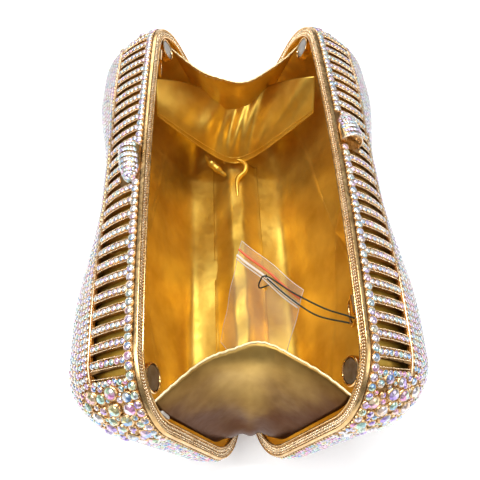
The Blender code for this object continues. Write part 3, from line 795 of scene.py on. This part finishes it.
def pave_stones(side):
    """The close-set stones over the ends, the shoulders and the face."""
    corners = Setting()
    for end in (-1, 1):
        corner_stones(corners, end)
    pave = Setting()
    pave.cells = {key: list(found) for key, found in corners.cells.items()}
    for s, t in pave_rows():
        add_paving(pave, s, t, PAVE_R, gap=0.98, bars_end=0.0905, past_bars=0.0022, past_line=0.0030)
    for radius, tries in FILL_SIZES:
        s, t = rng.uniform(-HALF_EDGE, HALF_EDGE, tries), rng.uniform(0.05, 1.9, tries)
        add_paving(pave, s, t, radius, gap=1.02, bars_end=BARS_END, past_bars=0.0020, past_line=0.0024)
    corners.make(side, "corner", FINE_CUP)
    pave.make(side, "pave", CUP)


def above_ground(points):
    """Whether stones at these points of a case's frame stay clear of the ground."""
    height = points[:, 2] * math.cos(OPEN_ANGLE) - points[:, 1] * math.sin(OPEN_ANGLE) + HINGE_Z
    return height > CLEAR_OF_GROUND


# ---------------------------------------------------------------- gold work

def tube(name, points, radius, material, sides=8, closed=False):
    """A round rod along points, as a mesh."""
    points = np.asarray(points, float)
    count = len(points)
    if closed:
        ahead, behind = np.roll(points, -1, 0), np.roll(points, 1, 0)
    else:
        ahead = np.concatenate([points[1:], points[-1:]])
        behind = np.concatenate([points[:1], points[:-1]])
    forward = unit(ahead - behind)
    side = np.zeros_like(points)
    guide = np.array([0.0, 0.0, 1.0]) if abs(forward[0, 2]) < 0.9 else np.array([1.0, 0.0, 0.0])
    for i in range(count):
        guide = guide - forward[i] * (guide @ forward[i])
        guide /= np.linalg.norm(guide)
        side[i] = guide
    third = np.cross(forward, side)
    turn = np.arange(sides) * 2 * math.pi / sides
    radii = np.broadcast_to(radius, count)[:, None, None]
    ring = side[:, None] * np.cos(turn)[None, :, None] + third[:, None] * np.sin(turn)[None, :, None]
    where = points[:, None] + ring * radii
    faces = [tuple(reversed(f)) for f in grid_faces(count, sides, closed, True)]
    if not closed:
        faces.append(tuple(range(sides)))
        faces.append(tuple(reversed(range((count - 1) * sides, count * sides))))
    return mesh_object(name, where, faces, material, True, 60)


def sweep(name, stations, material):
    """A grid of points (stations, profile, 3) closed both ways."""
    faces = grid_faces(stations.shape[0], stations.shape[1], True, True)
    return mesh_object(name, stations, faces, material, True, 35)


def gold_ridge(side):
    """The polished line that closes the bars at their outer ends and runs down to the rim at each end."""
    last = s_of_x(BARS_END)
    s = np.linspace(-last, last, 140)
    a = np.full(len(s), SLOT_TO + 0.0011)
    down = np.linspace(SLOT_TO + 0.0011, RIM_STONE_A + 0.0022, 14)
    s = np.concatenate([np.full(14, -last), s, np.full(14, last)])
    a = np.concatenate([down[::-1], a, down])
    points, axes = frames_on(s, t_at(s, a))
    rod = tube(f"{side}_ridge", points + axes[:, 2] * 0.0001, 0.00042, BEAD_GOLD)
    settle(rod, side, slot="case_metal")


def rim(side):
    """The flat rim: rounded borders, a sunk channel, a line of grains and a band of slanted leaves."""
    profile = [(0.0, 1.8), (0.0, 0.60), (0.12, 0.36), (0.42, 0.21), (0.74, 0.30), (0.90, 0.72),
               (1.5, 0.78), (3.6, 0.78), (4.02, 0.70), (4.16, 0.34), (4.46, 0.21), (4.80, 0.33),
               (4.98, 0.60), (5.0, 1.8)]
    s = np.linspace(-HALF_EDGE, HALF_EDGE, 460, endpoint=False)
    stations = np.stack([rim_point(s, inset / 1000, a / 1000) for inset, a in profile], axis=1)
    body = sweep(f"{side}_rim_frame", stations, RIM_GOLD)
    settle(body, side, f"{side}_rim", slot="rim_metal")
    points, axes = rim_places(1.22, 0.00078, 0.74)
    sizes = np.full(len(points), 0.00032)
    grains = copies(f"{side}_rim_grains", BEAD, (points, axes), sizes, BEAD_GOLD, smooth=True)
    settle(grains, side, slot="rim_metal")
    for number, (inset, slant) in enumerate(((2.16, 0.62), (3.26, -0.62))):
        points, axes = rim_places(inset, 0.00120, 0.74)
        cos, sin = math.cos(slant), math.sin(slant)
        across = axes[:, 1] * cos + axes[:, 0] * sin
        along = axes[:, 1] * sin - axes[:, 0] * cos
        turned = np.stack([across, along, axes[:, 2]], axis=1)
        sizes = np.tile([0.00068, 0.00040, 0.00042], (len(points), 1))
        name = f"{side}_rim_leaves_{number}"
        leaves = copies(name, BEAD, (points, turned), sizes, BEAD_GOLD, smooth=True)
        settle(leaves, side, slot="rim_metal")


def rim_places(inset, pitch, a):
    """Even places round the rim, facing the other case.  inset and a are in mm."""
    count = int(2 * HALF_EDGE / pitch)
    s = np.linspace(-HALF_EDGE, HALF_EDGE, count, endpoint=False)
    inset, a, step = inset / 1000, a / 1000, 1e-4
    points = rim_point(s, inset, a)
    across = unit(rim_point(s + step, inset, a) - rim_point(s - step, inset, a))
    out = np.broadcast_to(np.array([0.0, -1.0, 0.0]), points.shape)
    along = np.cross(out, across)
    return points, np.stack([across, along, out], axis=1)


def knob(side):
    """The half dome beside the rim: a gold body set with small slanted stones, and its flat gold end."""
    middle = Matrix.Translation((knob_end(side), KNOB_A, top_at(0) - KNOB_SINK))
    matrix = np.array(middle @ Matrix.Rotation(KNOB_TILT, 4, "X"))
    size = np.array([KNOB_LENGTH, KNOB_HALF_WIDTH, KNOB_HEIGHT]) * 0.985

    def dome(u, v):
        """u runs from the flat end to the tip and v across the back of the dome."""
        local = np.stack([-np.sin(u), np.cos(u) * np.cos(v), np.cos(u) * np.sin(v)], axis=-1) * size
        return local @ matrix[:3, :3].T + matrix[:3, 3]

    u = np.linspace(0, math.pi / 2 * 0.995, 24)
    v = np.linspace(-0.25, math.pi + 0.25, 36)
    end_wall = tuple(range(len(v)))
    faces = [*grid_faces(len(u), len(v)), end_wall]
    points = np.maximum(dome(*np.meshgrid(u, v, indexing="ij")), [-1, CASE_START, -1])
    body = mesh_object(f"{side}_knob_body", points, faces, POLISHED_GOLD, True, 40)
    settle(body, side, f"{side}_knob", slot="crystal")
    rows = []
    for row, at in enumerate(np.linspace(0.06, 1.36, 9)):
        count = max(3, int(13 * math.cos(at)))
        across = np.linspace(0.30, math.pi - 0.22, count) + (row % 2) * 0.08
        rows.append(np.stack([np.full(count, at), across], axis=1))
    spots = np.concatenate(rows)
    step = 1e-3
    points = dome(spots[:, 0], spots[:, 1])
    along = dome(spots[:, 0] + step, spots[:, 1]) - dome(spots[:, 0] - step, spots[:, 1])
    across = dome(spots[:, 0], spots[:, 1] + step) - dome(spots[:, 0], spots[:, 1] - step)
    along = unit(along)
    out = unit(np.cross(across, along))
    out *= np.sign(out @ np.array([0, 0, 1.0]) + 1e-9)[:, None]
    keep = points[:, 1] > CASE_START + 0.0008
    points, axes = points[keep], np.stack([along, np.cross(out, along), out], axis=1)[keep]
    slant = 0.5
    turned = np.stack([axes[:, 0] * math.cos(slant) + axes[:, 1] * math.sin(slant),
                       axes[:, 1] * math.cos(slant) - axes[:, 0] * math.sin(slant), axes[:, 2]], axis=1)
    sizes = np.tile([0.00112, 0.00076, 0.0009], (len(points), 1))
    colors = facet_colors(len(points), 0.35, len(GEM[1]))
    stones = copies(f"{side}_knob_stones", GEM, (points, turned), sizes, STONES, colors)
    settle(stones, side, slot="crystal")
    edge_line = dome(np.full(40, 0.01), np.linspace(0.2, math.pi - 0.2, 40))
    rod = tube(f"{side}_knob_edge", edge_line, 0.00035, BEAD_GOLD)
    settle(rod, side, slot="crystal")


def magnets(side):
    """Rolled cups round the magnets."""
    reach = TOP_CORNER - RIM_WIDTH - 0.0003 - CUP_R
    x = LENGTH / 2 - TOP_CORNER + reach * math.cos(MAGNET_ANGLE)
    z = RIM_HEIGHT - TOP_CORNER + reach * math.sin(MAGNET_ANGLE)
    inner = CUP_R - CUP_WALL
    profile = [(CUP_R, CUP_BACK), (CUP_R, CUP_FRONT + 0.0003), (CUP_R - 0.00015, CUP_FRONT + 0.0001),
               (CUP_R - 0.0004, CUP_FRONT), (inner + 0.00012, CUP_FRONT + 0.0001),
               (inner, CUP_FRONT + 0.0004), (inner, CUP_FLOOR), (0.0006, CUP_FLOOR), (0.0006, CUP_BACK)]
    turn = np.linspace(0, 2 * math.pi, 48, endpoint=False)
    cos, sin = np.cos(turn), np.sin(turn)
    for end, sign in (("a", -1), ("b", 1)):
        rings = [np.stack([sign * x + r * cos, np.full(48, a), lifted(x, z) + r * sin], axis=1)
                 for r, a in profile]
        cup_piece = sweep(f"{side}_cup_{end}", np.stack(rings, axis=1), POLISHED_GOLD)
        settle(cup_piece, side, f"{side}_magnet_cup_{end}", slot="hardware")


def rounded_loop(steps):
    """The strap ring's middle line, hanging from the origin down -Z."""
    wide, low, high = RING_WIDTH / 2, RING_LOW_BEND, RING_TOP_BEND
    bends = [(wide - high, -high, high, 90), (wide - low, low - RING_DROP, low, 0),
             (low - wide, low - RING_DROP, low, -90), (high - wide, -high, high, -180)]
    points = []
    for x, z, radius, start in bends:
        for step in range(steps + 1):
            angle = math.radians(start - 90 * step / steps)
            points.append((x + radius * math.cos(angle), 0, z + radius * math.sin(angle)))
    return np.array(points)


def strap_ring(side):
    """The wire ring that hangs from its barrel inside the rim."""
    x = own_x(side, RING_X[side])
    axis = case_matrix(side) @ Vector((x, RING_A, top_at(x) - RIM_WIDTH - 0.0004 - RING_BARREL_R))
    obj = tube(f"{side}_ring_wire", rounded_loop(8) + np.array(axis), WIRE_R, POLISHED_GOLD, 12, True)
    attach(obj, f"{side}_ring")
    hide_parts(f"{side}_strap_ring")


# ---------------------------------------------------------------- fabric

SLACK_ROUNDS = 46


def eased_corners(grid):
    """The grid spaced evenly from the rim inwards, with its bends loosened as slack cloth lies."""
    even = np.empty_like(grid)
    for row, line in zip(even, grid):
        lengths = lengths_along(line)
        at = np.linspace(0, lengths[-1], len(line))
        for k in range(3):
            row[:, k] = np.interp(at, lengths, line[:, k])
    for _ in range(SLACK_ROUNDS):
        even[:, 1:-1] = (even[:, :-2] + 2 * even[:, 1:-1] + even[:, 2:]) / 4
    return even


def outward(grid):
    """Unit normals of a closed grid, away from the middle of its case."""
    across = np.roll(grid, -1, 0) - np.roll(grid, 1, 0)
    normal = unit(np.cross(across, np.gradient(grid, axis=1)).reshape(-1, 3))
    away = grid.reshape(-1, 3) - np.array([0, 0.008, MIDDLE])
    return normal * np.sign((normal * away).sum(axis=1, keepdims=True))


def lining(side):
    """The gold cloth inside a case, with soft folds that fade out at the rim."""
    s = np.linspace(-HALF_EDGE, HALF_EDGE, 360, endpoint=False)
    t = np.concatenate([np.linspace(0, 1, 30), np.linspace(1.03, 1.97, 34)])
    grid_s, grid_t = np.meshgrid(s, t, indexing="ij")

    raw = shell_point(grid_s.ravel(), grid_t.ravel(), LINER_SKIN, CASE_START + 0.0001)
    grid = eased_corners(raw.reshape(len(s), len(t), 3))
    points = grid.reshape(-1, 3)
    x, h = points[:, 0], points[:, 2]
    inwards = np.tile(np.linspace(0, 1, len(t)), len(s))
    mirror = 1 if side == "back" else -1
    wave = (np.sin(x / 0.0085 + 1.1 * np.sin(h / 0.021) + mirror) * 0.4
            + np.sin(x / 0.0147 - h / 0.035 + 2.0 * mirror) * 0.9
            + np.sin(h / 0.009 + 1.8 * np.sin(x / 0.031 + mirror)) * 0.7)
    round_rim = grid_s.ravel()
    near_rim = 1 - soft_step(inwards, 0.0, 0.2)
    puckers = np.sin(round_rim / 0.0013 + 2 * np.sin(round_rim / 0.011)) * near_rim
    depth = soft_step(inwards, 0.01, 0.25) * (0.0012 + 0.0011 * wave) + 0.00012 * puckers
    points = points - outward(grid) * depth[:, None]
    faces = [tuple(reversed(f)) for f in grid_faces(len(s), len(t), True, False)]
    centre = len(points)
    points = np.concatenate([points, points.reshape(grid.shape)[:, -1].mean(axis=0)[None]])
    last = len(t) - 1
    for i in range(len(s)):
        j = (i + 1) % len(s)
        faces.append((i * len(t) + last, j * len(t) + last, centre))
    obj = mesh_object(f"{side}_lining_cloth", points, faces, LINING)
    thicken(obj, -1.0)
    settle(obj, side, f"{side}_lining", slot="lining")


def end_seam(count):
    """Where a gusset is sewn to one case, as (x, h) from the top corner down to the bottom."""
    upper, lower = TOP_CORNER - GUSSET_INSET, BOTTOM_CORNER - GUSSET_INSET
    straight = RIM_HEIGHT - TOP_CORNER - BOTTOM_CORNER
    lengths = np.cumsum([upper * GUSSET_TOP_ANGLE, straight, -lower * GUSSET_END_ANGLE])
    top_x, top_z, low_x = LENGTH / 2 - TOP_CORNER, RIM_HEIGHT - TOP_CORNER, LENGTH / 2 - BOTTOM_CORNER
    seam = []
    for along in np.linspace(0, lengths[-1], count):
        if along < lengths[0]:
            angle = GUSSET_TOP_ANGLE - along / upper
            x, z = top_x + upper * math.cos(angle), top_z + upper * math.sin(angle)
        elif along < lengths[1]:
            x, z = LENGTH / 2 - GUSSET_INSET, top_z - (along - lengths[0])
        else:
            angle = -(along - lengths[1]) / lower
            x, z = low_x + lower * math.cos(angle), BOTTOM_CORNER + lower * math.sin(angle)
        seam.append((x, lifted(x, z)))
    return np.array(seam)


def seam_place(h):
    """Half the gap between the two seams, and their height, at h on the cases."""
    half = h * math.sin(OPEN_ANGLE) + SEAM_A * math.cos(OPEN_ANGLE)
    return half, h * math.cos(OPEN_ANGLE) - SEAM_A * math.sin(OPEN_ANGLE) + HINGE_Z


def gusset_points(sign):
    """Rows of points from one seam to the other, folded inwards and puckered along the hem."""
    seam = end_seam(64)
    share = ((seam[:, 1] - seam[-1, 1]) / (seam[0, 1] - seam[-1, 1]))[:, None]
    half, z = seam_place(seam[:, 1])
    across = np.linspace(-1, 1, 61)[None]
    middle = 1 - np.abs(across) ** 1.7
    fold = GUSSET_FOLD * share**1.3
    x = seam[:, :1] - fold * middle
    z = z[:, None] - GUSSET_SAG * middle * share
    y = half[:, None] * across
    down = 1 - share
    crease = (np.sin(across * 9 + 3 * down) * middle * 0.0007
              + np.sin(down * 17 + across * 4) * middle * 0.0005)
    pucker = np.sin(across * 75 + 1.5 * np.sin(across * 13)) * np.exp(-down / 0.045) * 0.00022
    x = x + crease + pucker
    return np.stack([sign * x, y + 0 * x, z + 0 * x], axis=-1)


def between_cases(obj, *nodes):
    """Bakes the placement of a piece that lies between the two cases into its mesh, in place of the CAD
    nodes named.
    """
    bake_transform(obj)
    if nodes:
        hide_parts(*nodes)


def sheet_between(name, points, material, *nodes):
    """A grid of points as cloth, given its thickness, that lies between the two cases."""
    obj = mesh_object(name, points, grid_faces(*points.shape[:2]), material)
    thicken(obj)
    between_cases(obj, *nodes)


def gusset(end, sign):
    points = gusset_points(sign)
    # The near gusset takes the darker cloth, which is painted shade; the far one takes the lining cloth
    # itself
    material = SHADED_GUSSET_CLOTH if end == "left" else LINING
    sheet_between(f"{end}_gusset_cloth", points, material, f"{end}_gusset")
    hem = tube(f"{end}_gusset_hem", points[0] + np.array([0, 0, 0.0002]), 0.00048, HEM)
    between_cases(hem)
    stitches(f"{end}_gusset_stitches", points[3] + np.array([-sign * 0.0005, 0, 0]))


def far_fold():
    """The slack cloth inside the right end: a sewn-down hammock, its double seam and the tucks below."""
    across = np.linspace(-FOLD_HALF, FOLD_HALF, 90)[None]
    up = np.linspace(0, 1, 36)[:, None] * (1 - 0.5 * (across / FOLD_HALF) ** 2)
    low = FOLD_LOW + FOLD_RISE * (np.sqrt(across**2 + FOLD_BEND**2) - FOLD_BEND)
    spread = np.arctan2(across, 0.02)
    wrinkle = np.sin(spread * 8 + 5 * up) * 0.0011 + np.sin(spread * 19 + 9 * up * up) * 0.0005
    bulge = np.sin(math.pi * up) * FOLD_BULGE + wrinkle * np.sin(math.pi * np.minimum(up * 1.4, 1) / 1.4)
    x = FOLD_X + FOLD_REACH * up - bulge
    points = np.stack([x, across + 0 * up, low + FOLD_HEIGHT * up + bulge * 0.8], axis=-1)
    sheet_between("far_fold_cloth", points, LINING)
    for number, row in enumerate((0, 3)):
        line = points[row] + np.array([-0.0002, 0, 0.0004])
        between_cases(tube(f"far_fold_seam_{number}", line, 0.00032, LINING))
    for number, (route, radius) in enumerate(TUCKS):
        middle = smooth_route([Vector(p) / 1000 for p in route], 0.0006)
        share = np.linspace(0, math.pi, len(middle))
        swell = radius * (0.35 + 0.65 * np.sin(share)) * (1 + 0.12 * np.sin(share * 7))
        between_cases(tube(f"far_tuck_{number}", middle, swell, LINING, 14))


def stitches(name, line):
    """A run of short raised stitches along a line."""
    lengths = lengths_along(line)
    at = np.arange(0.001, lengths[-1] - 0.001, 0.0021)
    points = np.stack([np.interp(at, lengths, line[:, k]) for k in range(3)], axis=1)
    ahead = np.stack([np.interp(at + 2e-4, lengths, line[:, k]) for k in range(3)], axis=1) - points
    across = unit(ahead)
    out = unit(np.cross(across, np.array([0.0, 0.0, 1.0])))
    along = np.cross(out, across)
    sizes = np.tile([0.00075, 0.0002, 0.00016], (len(at), 1))
    obj = copies(name, BEAD, (points, np.stack([across, along, out], axis=1)), sizes, HEM, smooth=True)
    between_cases(obj)


def bottom_lining():
    """The strip of cloth over the hinge, draped up the foot of each case."""
    flat, bend = LENGTH / 2 - BOTTOM_CORNER, BOTTOM_CORNER - GUSSET_INSET
    end = flat + bend * math.cos(GUSSET_END_ANGLE) + 0.0015
    x = np.linspace(-end, end, 140)
    beyond = np.clip(np.abs(x) - flat, 0, bend)
    low = BOTTOM_CORNER - np.sqrt(bend**2 - beyond**2)
    half, z = seam_place(lifted(x, low + 0.0005))
    across = np.linspace(-1.9, 1.9, 33)[None]
    ripple = 0.0003 * np.sin(x[:, None] / 0.004 + across * 2)
    drape = 0.0009 - 0.0084 * soft_step(np.abs(across), 0.3, 1.9)
    height = z[:, None] + drape + ripple
    points = np.stack([x[:, None] + 0 * across, half[:, None] * across, height], axis=-1)
    sheet_between("bottom_lining_cloth", points, LINING, "bottom_lining")


# ---------------------------------------------------------------- pouch, thread and pad

def smooth_route(points, step):
    """Points about a step apart on a Catmull-Rom curve through the given ones."""
    points = [Vector(p) for p in points]
    padded = [2 * points[0] - points[1], *points, 2 * points[-1] - points[-2]]
    route = []
    for p0, p1, p2, p3 in zip(padded, padded[1:], padded[2:], padded[3:]):
        count = max(1, round((p2 - p1).length / step))
        for i in range(count):
            t = i / count
            square = (2 * p0 - 5 * p1 + 4 * p2 - p3) * t**2
            cube = (3 * p1 - p0 - 3 * p2 + p3) * t**3
            route.append((2 * p1 + (p2 - p0) * t + square + cube) / 2)
    return [*route, points[-1]]


def thread():
    """The thread from the pouch's hole round the strap ring and back, and its knot."""
    curve = bpy.data.curves.new("spares_thread", "CURVE")
    curve.dimensions = "3D"
    curve.bevel_depth = THREAD_R
    curve.bevel_resolution = 3
    curve.use_fill_caps = True
    route = smooth_route(THREAD, 0.001)
    spline = curve.splines.new("POLY")
    spline.points.add(len(route) - 1)
    for target, point in zip(spline.points, route):
        target.co = (*point, 1)
    curve.materials.append(DARK_THREAD)
    obj = bpy.data.objects.new("spares_thread", curve)
    bpy.context.scene.collection.objects.link(obj)
    wound = [Vector(KNOT_AT) + Vector((KNOT_R * math.cos(k), KNOT_R * math.sin(k), KNOT_R * math.cos(2 * k)))
             for k in np.linspace(0, 5, 20)]
    knot = tube("thread_knot", wound, THREAD_R, DARK_THREAD)
    for piece in (obj, knot):
        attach(piece, "front_half")
    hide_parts("pouch_thread")


def pouch_point(across, down, out=0.0):
    normal = POUCH_DOWN.cross(POUCH_ACROSS).normalized()
    return POUCH_CORNER + POUCH_ACROSS * across + POUCH_DOWN * down + normal * out


def sway(across, down):
    """How far the film stands off its flat at a place on it."""
    return 0.0005 * math.sin(across * 9 + down * 5)


def ripple(across, down):
    return sway(across, down) + 0.0003 * math.sin(down * 17 - across * 6)


def pouch():
    """Two layers of clear film closed round the edge, with a hole, a zip ridge and a red line."""
    columns, rows = 36, 48
    layers = []
    for layer in (-1, 1):
        for row in range(rows + 1):
            for column in range(columns + 1):
                across, down = column / columns, row / rows
                puff = (1 - abs(2 * across - 1) ** 6) * min(1, down * 6) * (1 - down**8)
                out = layer * (0.00008 + 0.0004 * puff) + ripple(across, down)
                layers.append(pouch_point(across, down, out))
    size = (rows + 1) * (columns + 1)
    faces = grid_faces(rows + 1, columns + 1)
    faces = [f for f in faces if not punched(np.mean([[layers[i] for i in f]], axis=1)[0])]
    faces += [tuple(size + i for i in reversed(f)) for f in faces]
    bag = mesh_object("spares_pouch_film", layers, faces, POUCH_FILM)
    pieces = []
    for name, down, wide, high, material in (("pouch_red_line", 0.075, 0.0006, 0.0006, RED_LINE),
                                             ("pouch_zip_ridge_a", 0.125, 0.0007, 0.0009, ZIP_FILM),
                                             ("pouch_zip_ridge_b", 0.155, 0.0004, 0.0008, ZIP_FILM)):
        line = [pouch_point(share, down, high * 0.9 + sway(share, down))
                for share in np.linspace(0.005, 0.995, 40)]
        pieces.append(tube(name, line, wide, material))
    border = [(0, 0), (1, 0), (1, 1), (0, 1), (0, 0)]
    line = []
    for (a0, d0), (a1, d1) in zip(border, border[1:]):
        for k in range(24):
            across, down = a0 + (a1 - a0) * k / 24, d0 + (d1 - d0) * k / 24
            line.append(pouch_point(across, down, ripple(across, down)))
    pieces.append(tube("pouch_seal", line, 0.00016, ZIP_FILM, 6, True))
    for piece in (bag, *pieces):
        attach(piece, "front_half")
    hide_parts("spares_pouch")
    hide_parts("pouch_zip")


def punched(point):
    """Whether a point lies inside the pouch's hole."""
    return (Vector(point) - pouch_point(0.5, POUCH_HOLE_DOWN)).length < POUCH_HOLE_R * 0.7


def bumper():
    """The clear pad inside the back rim."""
    low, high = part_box("back_bumper")
    shape = bmesh.new()
    bmesh.ops.create_cube(shape, size=1.0)
    bmesh.ops.bevel(shape, geom=shape.edges, offset=0.2, segments=3, affect="EDGES", profile=0.6)
    lean = Matrix.Rotation(-OPEN_ANGLE, 4, "X") @ Matrix.Rotation(math.radians(8), 4, "Y")
    size = Matrix.Diagonal((0.0012, 0.0017, 0.0060, 1))
    shape.transform(Matrix.Translation((low + high) / 2) @ lean @ size)
    mesh = bpy.data.meshes.new("back_pad")
    shape.to_mesh(mesh)
    shape.free()
    obj = link("back_pad", mesh, BUMPER)
    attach(obj, "back_half")
    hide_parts("back_bumper")


def floor():
    size = 12.0
    points = [(x * size, y * size, 0.0) for x, y in ((-1, -1), (1, -1), (1, 1), (-1, 1))]
    obj = mesh_object("floor", points, [(0, 1, 2, 3)], FLOOR, False)


def repaint(node, material):
    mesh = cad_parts[node].data
    mesh.materials.clear()
    mesh.materials.append(material)


# ---------------------------------------------------------------- the scene

add_camera()
add_light()
floor()
thread()
for side in SIDES:
    repaint(f"{side}_case", SHADED_CASE_GOLD)
    repaint(f"{side}_ring_barrel", POLISHED_GOLD)
    for end in ("left", "right"):
        repaint(f"{side}_hinge_leaf_{end}", POLISHED_GOLD)
    for end in ("a", "b"):
        repaint(f"{side}_magnet_{end}", MAGNET)
    rim(side)
    roof_stones(side)
    roof_beads(side)
    pave_stones(side)
    gold_ridge(side)
    knob(side)
    magnets(side)
    strap_ring(side)
    lining(side)
for end, sign in (("left", -1), ("right", 1)):
    repaint(f"hinge_pin_{end}", POLISHED_GOLD)
    gusset(end, sign)
bottom_lining()
far_fold()
pouch()
bumper()
